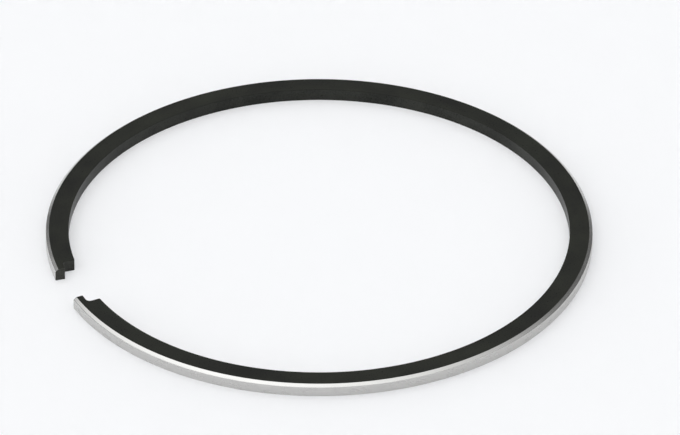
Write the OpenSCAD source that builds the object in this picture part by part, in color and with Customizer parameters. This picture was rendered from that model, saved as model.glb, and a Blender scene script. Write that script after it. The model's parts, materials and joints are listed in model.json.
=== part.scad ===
// Split piston ring with notched ends, in the open shape that it springs to when it is free.
// Millimetres, +Z up. The ring lies on its lower side at z = 0 with the centre of its wide arc
// on the Z axis, its bevelled edge up and its gap on the -X side.

/* [Fit] */
// Diameter of the cylinder that the ring runs in when it is closed
cylinder_bore = 50; // [35:0.5:90]
// Gap left between the tongues when the ring is closed in its cylinder
closed_gap = 0.2; // [0.1:0.05:0.6]

/* [Free shape] */
// Angle left open between the two end faces when the ring is free
gap_angle = 8.7; // [3:0.1:16]
// Angle of the stretch at each end that keeps the curve of the cylinder when the ring is free
end_angle = 38; // [20:1:60]

/* [Section] */
// Height of the ring along its axis
axial_width = 1.2; // [0.8:0.1:3]
// Thickness of the ring from the running face to the inner wall
radial_wall = 2.15; // [1.7:0.05:4]
// Radial leg of the bevel along the upper outer edge
bevel_radial = 0.31; // [0.1:0.01:0.8]
// Axial leg of the bevel along the upper outer edge
bevel_axial = 0.23; // [0.1:0.01:0.6]
// Break on the other three edges of the section
edge_break = 0.03; // [0.02:0.01:0.15]

/* [Ends] */
// Length of the tongue at each end, which is the length of the notch beside it
notch_length = 1.17; // [0.5:0.01:2.5]
// Depth of the notch at each end, from the inner wall
notch_depth = 1.22; // [0.4:0.02:1.6]
// Radius that the cutter leaves in the corner of the notch
notch_corner = 0.16; // [0.05:0.01:0.35]

/* [Hidden] */
$fn = 96;

// Closing the ring bends it most opposite the gap and hardly at all near the ends. So when it
// springs open, the end stretches keep the closed radius, and what they leave of the running
// face's length lies on one wide arc between them. Its radius is taken to a thousandth.
closed_r = cylinder_bore / 2;
wide_angle = 180 - gap_angle / 2 - end_angle;
wide_length = (PI * cylinder_bore - closed_gap) / 2 - closed_r * end_angle * PI / 180;
outer_r = round(1000 * wide_length / (wide_angle * PI / 180)) / 1000;
// Length of the wide arc that is drawn with each end stretch, as an angle
run_in = 4;
// Inner side of each tongue, measured from the centre of its end stretch along the end face
tongue_r = closed_r - radial_wall + notch_depth;
// The notch cutter runs this far past the surfaces that it cuts through
overcut = radial_wall;

// Half section of the ring, with the radius along X and the axis along Y
module section(face_r) {
    wall_r = face_r - radial_wall;
    polygon([
        [wall_r + edge_break, 0],
        [face_r - edge_break, 0],
        [face_r, edge_break],
        [face_r, axial_width - bevel_axial],
        [face_r - bevel_radial, axial_width],
        [wall_r + edge_break, axial_width],
        [wall_r, axial_width - edge_break],
        [wall_r, edge_break],
    ]);
}

// Plain stretch of the ring about the Z axis
module stretch(face_r, from, angle) {
    rotate([0, 0, from])
        rotate_extrude(angle = angle)
            section(face_r);
}

// Outline of one notch seen from above: the end face lies along -X and the ring runs on to +Y
module notch_outline() {
    reach = notch_depth + overcut;
    translate([-tongue_r, -overcut])
        square([reach, overcut + notch_length - notch_corner]);
    translate([notch_corner - tongue_r, -overcut])
        square([reach - notch_corner, overcut + notch_length]);
    translate([notch_corner - tongue_r, notch_length - notch_corner])
        circle(r = notch_corner);
}

// Notched end stretch on the +Y side of the gap, tangent to the wide arc that runs into it
module ring_end() {
    rotate([0, 0, wide_angle]) {
        mirror([0, 1, 0]) stretch(outer_r, 0, run_in);
        translate([outer_r - closed_r, 0, 0])
            difference() {
                stretch(closed_r, 0, end_angle);
                rotate([0, 0, end_angle - 180])
                    translate([0, 0, -overcut])
                        linear_extrude(axial_width + 2 * overcut)
                            notch_outline();
            }
    }
}

module piston_ring() {
    // The wide arc stops halfway along the run-in of each end
    half_turn = wide_angle - run_in / 2;
    color("#2f302d") {
        stretch(outer_r, -half_turn, 2 * half_turn);
        ring_end();
        mirror([0, 1, 0]) ring_end();
    }
}

piston_ring();
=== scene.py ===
"""Looks of a split piston ring that lies on a pale table.

The ring is of black coated iron, and its running face and bevel are ground bright.
"""
import json
import math
from collections import namedtuple

import bpy
from mathutils import Matrix, Vector


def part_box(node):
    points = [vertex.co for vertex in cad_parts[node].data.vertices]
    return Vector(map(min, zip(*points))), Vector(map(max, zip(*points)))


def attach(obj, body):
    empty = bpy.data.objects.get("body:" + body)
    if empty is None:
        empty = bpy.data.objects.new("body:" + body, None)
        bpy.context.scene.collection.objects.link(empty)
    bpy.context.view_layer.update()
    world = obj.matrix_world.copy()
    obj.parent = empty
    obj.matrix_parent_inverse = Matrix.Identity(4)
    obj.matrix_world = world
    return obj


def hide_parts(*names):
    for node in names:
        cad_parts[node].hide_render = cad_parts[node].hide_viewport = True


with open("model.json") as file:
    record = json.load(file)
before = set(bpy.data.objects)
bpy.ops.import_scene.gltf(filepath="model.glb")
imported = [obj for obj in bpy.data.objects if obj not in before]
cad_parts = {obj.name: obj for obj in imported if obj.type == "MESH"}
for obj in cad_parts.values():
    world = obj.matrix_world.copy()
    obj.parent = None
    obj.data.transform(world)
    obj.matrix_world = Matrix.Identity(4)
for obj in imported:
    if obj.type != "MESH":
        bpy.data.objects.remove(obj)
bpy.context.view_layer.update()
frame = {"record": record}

# Lengths are in millimetres, and this turns them into metres
MM = 0.001

# Sizes of the ring, the first three from the frame
mounts = {mount["name"]: mount["dims"] for mount in frame["record"]["mounts"]}
outer_r = mounts["running_face"]["r_mm"]
wall = outer_r - mounts["inner_wall"]["r_mm"]
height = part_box("piston_ring")[1].z / MM
bevel_radial = 0.31
bevel_axial = 0.23
edge_break = 0.03
notch_length = 1.17
notch_depth = 1.22

# The ring is one wide arc, and each end is a stretch of the closed radius that goes on from it
half_gap = math.radians(4.35)
end_turn = math.radians(38)
end_r = 25.0
end_inner_r = end_r - wall
tongue_r = end_inner_r + notch_depth
# Centre of the wide arc, seen from the centre of an end stretch whose end face lies on -X
wide_centre = Vector((math.cos(end_turn), -math.sin(end_turn), 0)) * (outer_r - end_r)

# Rounds as the eye sees them: on the bevel's upper edge, on its lower edge, which is eased more and more
# over an angle towards each tip, on the tips, and in the corners and on the shoulders of the notches
bevel_round = 0.03
crest_round = 0.02
eased_crest = 0.2
eased_turn = math.radians(32)
tip_round = 0.08
notch_corner = 0.4
shoulder_round = 0.1
# What is left of an edge's round where a tip's larger round runs over it
least_round = 0.004
# Centre of a shoulder's round, and its turn from the end face
shoulder_r = end_inner_r + shoulder_round
shoulder_y = notch_length + shoulder_round
shoulder_turn = math.asin(shoulder_y / shoulder_r)
shoulder_x = -shoulder_r * math.cos(shoulder_turn)

# How finely the ring is cut: round each edge, along a tongue and along the face of a notch
round_steps = 4
tongue_steps = 6
face_steps = 10
# Steps from a tongue's tip to the end of the notch's face
notch_steps = round_steps + tongue_steps + round_steps + face_steps
# From a shoulder to the middle of the ring the cuts go on in even steps of about this angle
rough_step = math.radians(0.3)
arc_turn = math.pi - half_gap - shoulder_turn
arc_steps = round(arc_turn / rough_step)
arc_step = arc_turn / arc_steps
# Past a notch the cuts lean, and after this many steps along the wall they are radial again
settle_steps = 8

# The camera, from the perspective of the ring in the photograph: the image's width and the focal length
# in pixels, the sensor, where the camera stands, and how far right of and above the origin it aims
image_width = 680
focal_pixels = 10806
sensor_width = 36
camera_distance = 1017.0
camera_elevation = math.radians(34.31)
camera_turn = math.radians(-21.23)
aim_right = 1.99
aim_up = 2.0
# Turns a direction that is given as right, back and up for the camera to the ring's own axes
as_seen = Matrix.Rotation(camera_turn, 3, "Z")

# The table: its size, the share of white that shines through it, the share of light that sinks into it,
# and how far that light spreads before it comes out again and softens the shadow
table_size = 3000
table_glow = 0.26
sunk_share = 0.55
sunk_spread = 18
# The table's matt face, with its pebble
table_roughness = 0.65
table_gloss = 0.2
pebble_size = 1
pebble_depth = 0.02
pebble_relief = 0.2

# The tent's light: how it grows to the right, to the back and upwards, what is added to that, and its
# dimmest level, low down
tent_lean = (-0.57, -0.05, 2.05)
tent_middle = -0.43
tent_dim = 0.19
# The tent's opening at the back on the left, which the bevel mirrors beside the gap: the way to it, the
# angles at which its dimness is full and has ended, and the share of light that is left in it
opening_way = (-0.67, 0.63, 0.385)
opening_full = math.radians(5)
opening_ended = math.radians(14)
opening_share = 0.66

# The coat: its crystals, and the lapping marks and clouds in it, by their width and their length round
# the ring, and its relief
crystal_size = 0.15
lapping_width = 0.12
lapping_length = 5.0
cloud_width = 2.5
cloud_length = 4.0
coat_depth = 0.008
coat_relief = 0.35
# How smooth and how rough the coat gets, and its gloss, which is low because the crystals trap light
coat_smooth = 0.26
coat_rough = 0.4
coat_gloss = 0.19

# The ground iron: its grinding lines and its duller patches, and the depth of the lines
grinding_width = 0.07
grinding_length = 3.0
patch_width = 0.4
patch_length = 1.2
grinding_depth = 0.004

# How the noise of a finish is broken up, with one swell of it to a mark
gritty = {"Scale": 1.0, "Detail": 3.0, "Roughness": 0.6}
patchy = {"Scale": 1.0, "Detail": 3.0}
soft = {"Scale": 1.0, "Detail": 2.0}
# The levels of a noise that go from smooth to rough, and those of two noises together that go from dark
# to light on the coat and on the iron
noise_span = {"From Min": 0.3, "From Max": 0.7}
coat_span = {"From Min": 0.75, "From Max": 1.25}
iron_span = {"From Min": 0.6, "From Max": 1.4}


def linear(code):
    """An sRGB hex colour as linear red, green, blue and alpha."""
    channels = [int(code[i : i + 2], 16) / 255 for i in (1, 3, 5)]
    return [c / 12.92 if c <= 0.04045 else ((c + 0.055) / 1.055) ** 2.4 for c in channels] + [1.0]


def add(tree, kind, inputs=None, **settings):
    """Adds a node, sets it up and fills its inputs, each with a value or a link from another node."""
    made = tree.nodes.new(kind)
    for name, value in settings.items():
        setattr(made, name, value)
    for socket, value in (inputs or {}).items():
        if isinstance(value, bpy.types.NodeSocket):
            tree.links.new(value, made.inputs[socket])
        else:
            made.inputs[socket].default_value = value
    return made


# The ring's section and its plan


def rounded(side, w, z, before, after, radius, inset):
    """One corner of the section as an arc, from the edge that runs along before to the one along after.

    Each point is (side, w, z, normal_w, normal_z), and w runs outwards from the inner or the outer wall.
    An inset moves both edges into the metal, which leaves less of the round.
    """
    start = math.atan2(-before[0], before[1])
    cross = before[0] * after[1] - before[1] * after[0]
    turn = math.atan2(cross, before[0] * after[0] + before[1] * after[1])
    kept = max(radius - inset, least_round)
    reach = (kept + inset) / math.cos(turn / 2)
    centre_w = w - reach * math.cos(start + turn / 2)
    centre_z = z - reach * math.sin(start + turn / 2)
    points = []
    for k in range(round_steps + 1):
        normal_w = math.cos(start + turn * k / round_steps)
        normal_z = math.sin(start + turn * k / round_steps)
        points.append((side, centre_w + kept * normal_w, centre_z + kept * normal_z, normal_w, normal_z))
    return points


def section(inset, crest):
    """The section's outline with the metal on the left, and the finish of the strip after each point."""
    slope = math.hypot(bevel_radial, bevel_axial)
    along_bevel = (-bevel_radial / slope, bevel_axial / slope)
    out, up, inwards, down = (1, 0), (0, 1), (-1, 0), (0, -1)
    corners = [
        ("outer", 0, 0, out, up, edge_break, "bevel", "running_face"),
        ("outer", 0, height - bevel_axial, up, along_bevel, crest, "bevel", "bevel"),
        ("outer", -bevel_radial, height, along_bevel, inwards, bevel_round, "coat", "coat"),
        # The inner wall takes a lighter copy of the coat, which is painted light for the grey the light
        # gives it
        ("inner", 0, height, inwards, down, edge_break, "coat", "turned_coat"),
        ("inner", 0, 0, down, out, edge_break, "coat", "coat"),
    ]
    outline = []
    for *corner, on_the_round, after_it in corners:
        outline += zip(rounded(*corner, inset), [on_the_round] * round_steps + [after_it])
    return outline


def on_the_plan(turn, inset):
    """The point at a turn from the end face and an inset from the running face, and the way out there."""
    outward = Vector((-math.cos(turn), math.sin(turn), 0))
    if turn < end_turn:
        return outward * (end_r - inset), outward
    return wide_centre + outward * (outer_r - inset), outward


# A cut through the ring: a point of the inner plan line and the direction from it into the metal, the
# turn of the cut's outer point from the end face, and how far the tip's round turns the cut to the gap
Cut = namedtuple("Cut", "inner into turn tip")


def tongue_cuts():
    """The cuts along a tongue from its end face towards +Y, by the tip's round, the wall and the corner."""
    cuts = []
    for k in range(round_steps):
        tip = math.pi / 2 * (1 - k / round_steps)
        y = tip_round * (1 - math.sin(tip))
        cuts.append(Cut(Vector((-tongue_r, y, 0)), Vector((-1, 0, 0)), math.asin(y / end_r), tip))
    wall_end = notch_length - notch_corner
    for k in range(tongue_steps):
        y = tip_round + (wall_end - tip_round) * k / tongue_steps
        cuts.append(Cut(Vector((-tongue_r, y, 0)), Vector((-1, 0, 0)), math.asin(y / end_r), 0))
    for k in range(round_steps + 1):
        angle = math.pi - math.pi / 2 * k / round_steps
        x = notch_corner - tongue_r + notch_corner * math.cos(angle)
        y = wall_end + notch_corner * math.sin(angle)
        into = Vector((math.cos(angle), math.sin(angle), 0))
        cuts.append(Cut(Vector((x, y, 0)), into, math.asin(y / end_r), 0))
    return cuts


def inner_line():
    """Points of the inner plan line past the notch's corner, and the directions from them into the metal.

    They run along the notch's face, round its shoulder and along the inner wall to the middle of the ring.
    """
    line = []
    for k in range(1, face_steps + 1):
        x = notch_corner - tongue_r
        point = Vector((x + (shoulder_x - x) * k / face_steps, notch_length, 0))
        line.append((point, Vector((0, 1, 0))))
    for k in range(1, round_steps + 1):
        angle = (math.pi / 2 - shoulder_turn) * k / round_steps - math.pi / 2
        facing = Vector((math.cos(angle), math.sin(angle), 0))
        line.append((Vector((shoulder_x, shoulder_y, 0)) + facing * shoulder_round, -facing))
    for k in range(1, arc_steps + 1):
        line.append(on_the_plan(shoulder_turn + arc_step * k, wall))
    return line


def half_ring():
    """The cuts from a tongue's tip to the middle of the ring, with the end face on -X."""
    cuts = tongue_cuts()
    first_turn = cuts[-1].turn
    before_arc = face_steps + round_steps
    leaning = before_arc + settle_steps
    settled_turn = shoulder_turn + arc_step * settle_steps
    for k, (inner, into) in enumerate(inner_line(), 1):
        if k < leaning:
            turn = first_turn + (settled_turn - first_turn) * k / leaning
        else:
            turn = shoulder_turn + arc_step * (k - before_arc)
        cuts.append(Cut(inner, into, turn, 0))
    return cuts


def cut_points(cut):
    """The section's points at one cut and their normals, on the end at the gap's +Y side."""
    walls = {"inner": (cut.inner, cut.into), "outer": on_the_plan(cut.turn, 0)}
    inset = tip_round * (1 - math.cos(cut.tip))
    crest = crest_round + (eased_crest - crest_round) * max(1 - cut.turn / eased_turn, 0)
    to_the_gap = Vector((0, -1, 0))
    up = Vector((0, 0, 1))
    open_up = Matrix.Rotation(-half_gap, 3, "Z")
    points, normals = [], []
    for (side, w, z, normal_w, normal_z), _ in section(inset, crest):
        start, across = walls[side]
        facing = across * normal_w + up * normal_z
        points.append(open_up @ (start + across * w + up * z - wide_centre))
        normals.append(open_up @ (facing * math.cos(cut.tip) + to_the_gap * math.sin(cut.tip)))
    return points, normals


def finish_at(strip, steps_from_tip):
    """The finish of a strip at a number of steps from the nearer tip: tips and notches are milled."""
    # The milled tips and notches take the lightest copy of the coat, which is painted light for the grey
    # the light gives them
    on_the_tip = steps_from_tip < round_steps
    in_the_notch = strip == "turned_coat" and steps_from_tip < notch_steps
    return "milled_coat_painted_lightest" if on_the_tip or in_the_notch else strip


def skin(cut_count, finish_names):
    """The faces from cut to cut and over the two tips, and the place of each one's finish in the names."""
    strips = [strip for _, strip in section(0, crest_round)]
    count = len(strips)
    faces = []
    finish_of_face = []
    for i in range(cut_count - 1):
        steps_from_tip = min(i, cut_count - 2 - i)
        for j, strip in enumerate(strips):
            here, beside = i * count + j, i * count + (j + 1) % count
            faces.append((here, beside, beside + count, here + count))
            finish_of_face.append(finish_names.index(finish_at(strip, steps_from_tip)))
    last = (cut_count - 1) * count
    faces.append(tuple(reversed(range(count))))
    faces.append(tuple(range(last, last + count)))
    finish_of_face += [finish_names.index("milled_coat_painted_lightest")] * 2
    return faces, finish_of_face


def finished_ring(finishes):
    """The whole ring as one mesh: half of its cuts, and their mirror image across the middle of the gap."""
    half = [cut_points(cut) for cut in half_ring()]
    across_gap = Matrix.Scale(-1, 3, Vector((0, 1, 0)))
    other_half = [
        ([across_gap @ point for point in points], [across_gap @ normal for normal in normals])
        for points, normals in half
    ]
    cuts = half + other_half[-2::-1]
    vertices = [point * MM for points, _ in cuts for point in points]
    facing = [normal for _, normals in cuts for normal in normals]
    faces, finish_of_face = skin(len(cuts), list(finishes))

    mesh = bpy.data.meshes.new("finished_ring")
    mesh.from_pydata(vertices, [], faces)
    for material in finishes.values():
        mesh.materials.append(material)
    mesh.polygons.foreach_set("material_index", finish_of_face)
    mesh.polygons.foreach_set("use_smooth", [True] * len(faces))
    mesh.update()
    mesh.normals_split_custom_set_from_vertices(facing)
    ring = bpy.data.objects.new("finished_ring", mesh)
    bpy.context.collection.objects.link(ring)
    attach(ring, "root")
    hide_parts("piston_ring")


# Finishes


def new_material(name):
    """An empty material, its node tree and its shader."""
    material = bpy.data.materials.new(name)
    material.use_nodes = True
    return material, material.node_tree, material.node_tree.nodes["Principled BSDF"]


def round_the_ring(tree, width, length):
    """A place on the ring as (radius, way round, height), counted in marks of a width and a length."""
    place = add(tree, "ShaderNodeTexCoord").outputs["Object"]
    xyz = add(tree, "ShaderNodeSeparateXYZ", {"Vector": place})
    flat = add(tree, "ShaderNodeCombineXYZ", {"X": xyz.outputs["X"], "Y": xyz.outputs["Y"]})
    radius = add(tree, "ShaderNodeVectorMath", {0: flat.outputs["Vector"]}, operation="LENGTH")
    angle = add(tree, "ShaderNodeMath", {0: xyz.outputs["Y"], 1: xyz.outputs["X"]}, operation="ARCTAN2")
    marks = {
        "X": (radius.outputs["Value"], 1 / (width * MM)),
        "Y": (angle.outputs["Value"], outer_r / length),
        "Z": (xyz.outputs["Z"], 1 / (width * MM)),
    }
    counted = {
        axis: add(tree, "ShaderNodeMath", {0: way, 1: per_mark}, operation="MULTIPLY").outputs["Value"]
        for axis, (way, per_mark) in marks.items()
    }
    return add(tree, "ShaderNodeCombineXYZ", counted).outputs["Vector"]


def dark_to_light(tree, first, second, span, dark, light):
    """A colour that goes from dark to light as two noises together go over a span of levels."""
    together = add(tree, "ShaderNodeMath", {0: first, 1: second}, operation="ADD")
    level = add(tree, "ShaderNodeMapRange", {"Value": together.outputs["Value"], **span})
    colour = add(tree, "ShaderNodeValToRGB", {"Fac": level.outputs["Result"]})
    colour.color_ramp.elements[0].color = linear(dark)
    colour.color_ramp.elements[1].color = linear(light)
    return colour.outputs["Color"]


def black_phosphate_coat(name, dark, light):
    """Manganese phosphate on cast iron, grown as fine crystals and oiled.

    It gives the eye a satin black with a faint cloudy grain and hardly any colour, over tool marks that
    run round the ring. Its copies on the turned faces and on the milled ends get lighter colours. That is
    painted light: they stand in for the brighter grey that the light gives those faces. The crystals and
    the tool marks are about 0.02 mm, too fine to show, so they are drawn at 0.15 and 0.12 mm.
    """
    material, tree, shader = new_material(name)
    crystals = add(
        tree,
        "ShaderNodeTexNoise",
        {"Vector": round_the_ring(tree, crystal_size, crystal_size), **gritty},
    ).outputs["Fac"]
    lapping = add(
        tree,
        "ShaderNodeTexNoise",
        {"Vector": round_the_ring(tree, lapping_width, lapping_length), **soft},
    ).outputs["Fac"]
    clouds = add(
        tree,
        "ShaderNodeTexNoise",
        {"Vector": round_the_ring(tree, cloud_width, cloud_length), **soft},
    ).outputs["Fac"]
    roughness = add(
        tree,
        "ShaderNodeMapRange",
        {"Value": crystals, **noise_span, "To Min": coat_smooth, "To Max": coat_rough},
    )
    relief = add(tree, "ShaderNodeMath", {0: crystals, 1: lapping}, operation="ADD")
    bump = add(
        tree,
        "ShaderNodeBump",
        {"Height": relief.outputs["Value"], "Strength": coat_relief, "Distance": coat_depth * MM},
    )
    colour = dark_to_light(tree, crystals, clouds, coat_span, dark, light)
    tree.links.new(colour, shader.inputs["Base Color"])
    tree.links.new(roughness.outputs["Result"], shader.inputs["Roughness"])
    tree.links.new(bump.outputs["Normal"], shader.inputs["Normal"])
    shader.inputs["Specular IOR Level"].default_value = coat_gloss
    return material


def ground_iron(name, dark, light, smooth, rough, relief):
    """Bare iron ground to a bright face, with grinding lines that run round the ring.

    It gives the eye a soft grey mirror that is streaked along its length. The lines are about 0.01 mm
    apart, too fine to show, so they are drawn at 0.07 mm.
    """
    material, tree, shader = new_material(name)
    lines = add(
        tree,
        "ShaderNodeTexNoise",
        {"Vector": round_the_ring(tree, grinding_width, grinding_length), **gritty},
    ).outputs["Fac"]
    patches = add(
        tree,
        "ShaderNodeTexNoise",
        {"Vector": round_the_ring(tree, patch_width, patch_length), **patchy},
    ).outputs["Fac"]
    roughness = add(
        tree,
        "ShaderNodeMapRange",
        {"Value": patches, **noise_span, "To Min": smooth, "To Max": rough},
    )
    bump = add(
        tree,
        "ShaderNodeBump",
        {"Height": lines, "Strength": relief, "Distance": grinding_depth * MM},
    )
    colour = dark_to_light(tree, lines, patches, iron_span, dark, light)
    tree.links.new(colour, shader.inputs["Base Color"])
    tree.links.new(roughness.outputs["Result"], shader.inputs["Roughness"])
    tree.links.new(bump.outputs["Normal"], shader.inputs["Normal"])
    shader.inputs["Metallic"].default_value = 1.0
    return material


def opal_acrylic():
    """Cast opal sheet with a matt face, lit a little from below.

    It gives the eye a cool white with a soft, pale shadow, because light spreads inside the sheet. Its
    face has a faint pebble of about 1 mm.
    """
    material, tree, shader = new_material("opal_acrylic")
    white = linear("#fcfdff")
    place = add(tree, "ShaderNodeTexCoord").outputs["Object"]
    pebble = add(tree, "ShaderNodeTexNoise", {"Vector": place, **soft, "Scale": 1 / (pebble_size * MM)})
    bump = add(
        tree,
        "ShaderNodeBump",
        {"Height": pebble.outputs["Fac"], "Strength": pebble_relief, "Distance": pebble_depth * MM},
    )
    tree.links.new(bump.outputs["Normal"], shader.inputs["Normal"])
    shader.inputs["Base Color"].default_value = white
    shader.inputs["Roughness"].default_value = table_roughness
    shader.inputs["Specular IOR Level"].default_value = table_gloss
    shader.subsurface_method = "BURLEY"
    shader.inputs["Subsurface Weight"].default_value = sunk_share
    shader.inputs["Subsurface Radius"].default_value = (1, 1, 1)
    shader.inputs["Subsurface Scale"].default_value = sunk_spread * MM

    # The glow is only seen, straight or mirrored, and lights nothing
    path = add(tree, "ShaderNodeLightPath").outputs
    mirrored = add(
        tree,
        "ShaderNodeMath",
        {0: path["Is Glossy Ray"], 1: path["Is Transmission Ray"]},
        operation="MAXIMUM",
    )
    seen = add(
        tree,
        "ShaderNodeMath",
        {0: path["Is Camera Ray"], 1: mirrored.outputs["Value"]},
        operation="MAXIMUM",
    )
    share = add(tree, "ShaderNodeMath", {0: seen.outputs["Value"], 1: table_glow}, operation="MULTIPLY")
    glow = add(tree, "ShaderNodeEmission", {"Color": white})
    both = add(
        tree,
        "ShaderNodeMixShader",
        {0: share.outputs["Value"], 1: shader.outputs["BSDF"], 2: glow.outputs["Emission"]},
    )
    tree.links.new(both.outputs["Shader"], tree.nodes["Material Output"].inputs["Surface"])
    return material


# The surroundings


def pale_table():
    """The table that the ring lies on."""
    half = table_size * MM / 2
    corners = [(-half, -half, 0), (half, -half, 0), (half, half, 0), (-half, half, 0)]
    mesh = bpy.data.meshes.new("pale_table")
    mesh.from_pydata(corners, [], [(0, 1, 2, 3)])
    mesh.materials.append(opal_acrylic())
    table = bpy.data.objects.new("pale_table", mesh)
    bpy.context.collection.objects.link(table)


def light_tent():
    """Soft light from above, brighter on the camera's left, dim down to the table and in an opening."""
    world = bpy.data.worlds.new("light_tent")
    world.use_nodes = True
    tree = world.node_tree
    direction = add(tree, "ShaderNodeTexCoord").outputs["Generated"]
    lean = as_seen @ Vector(tent_lean)
    growth = add(tree, "ShaderNodeVectorMath", {0: direction, 1: lean}, operation="DOT_PRODUCT")
    level = add(tree, "ShaderNodeMath", {0: growth.outputs["Value"], 1: tent_middle}, operation="ADD")
    strength = add(tree, "ShaderNodeMath", {0: level.outputs["Value"], 1: tent_dim}, operation="MAXIMUM")

    to_opening = as_seen @ Vector(opening_way).normalized()
    nearness = add(tree, "ShaderNodeVectorMath", {0: direction, 1: to_opening}, operation="DOT_PRODUCT")
    edges = {"From Min": math.cos(opening_ended), "From Max": math.cos(opening_full)}
    shares = {"To Min": 1.0, "To Max": opening_share}
    share = add(
        tree,
        "ShaderNodeMapRange",
        {"Value": nearness.outputs["Value"], **edges, **shares},
        interpolation_type="SMOOTHSTEP",
    )
    left_over = add(
        tree,
        "ShaderNodeMath",
        {0: strength.outputs["Value"], 1: share.outputs["Result"]},
        operation="MULTIPLY",
    )
    background = tree.nodes["Background"]
    background.inputs["Color"].default_value = (1, 1, 1, 1)
    tree.links.new(left_over.outputs["Value"], background.inputs["Strength"])
    bpy.context.scene.world = world


def photograph_camera():
    """A long lens above the front of the ring."""
    back = as_seen @ Vector((0, -math.cos(camera_elevation), math.sin(camera_elevation)))
    right = as_seen @ Vector((1, 0, 0))
    up = back.cross(right)
    place = back * camera_distance
    ahead = (right * aim_right + up * aim_up - place).normalized()
    right = ahead.cross(up).normalized()
    up = right.cross(ahead)
    axes = Matrix((right, up, -ahead)).transposed().to_4x4()
    lens = bpy.data.cameras.new("photograph_camera")
    lens.sensor_fit = "HORIZONTAL"
    lens.sensor_width = sensor_width
    lens.lens = focal_pixels / image_width * sensor_width
    camera = bpy.data.objects.new("photograph_camera", lens)
    camera.matrix_world = Matrix.Translation(place * MM) @ axes
    bpy.context.collection.objects.link(camera)
    bpy.context.scene.camera = camera


finished_ring(
    {
        # The turned faces and the milled ends take lighter copies of the coat. That is painted light: they
        # stand in for the brighter grey that the light gives these faces
        "coat": black_phosphate_coat("phosphate_coat_on_lapped_sides", "#050703", "#1d2017"),
        "turned_coat": black_phosphate_coat("phosphate_coat_painted_lighter_on_turned_faces", "#191b17", "#31332e"),
        "milled_coat_painted_lightest": black_phosphate_coat("phosphate_coat_painted_lightest_on_milled_ends", "#2a2b27", "#42433e"),
        "running_face": ground_iron(
            "ground_iron_on_running_face", "#c2c1bf", "#d1d0ce", smooth=0.24, rough=0.36, relief=0.25
        ),
        "bevel": ground_iron(
            "ground_iron_on_bevel", "#c7c7c5", "#d2d2d0", smooth=0.16, rough=0.26, relief=0.1
        ),
    }
)
pale_table()
light_tent()
photograph_camera()
bpy.context.scene.view_settings.view_transform = "Standard"
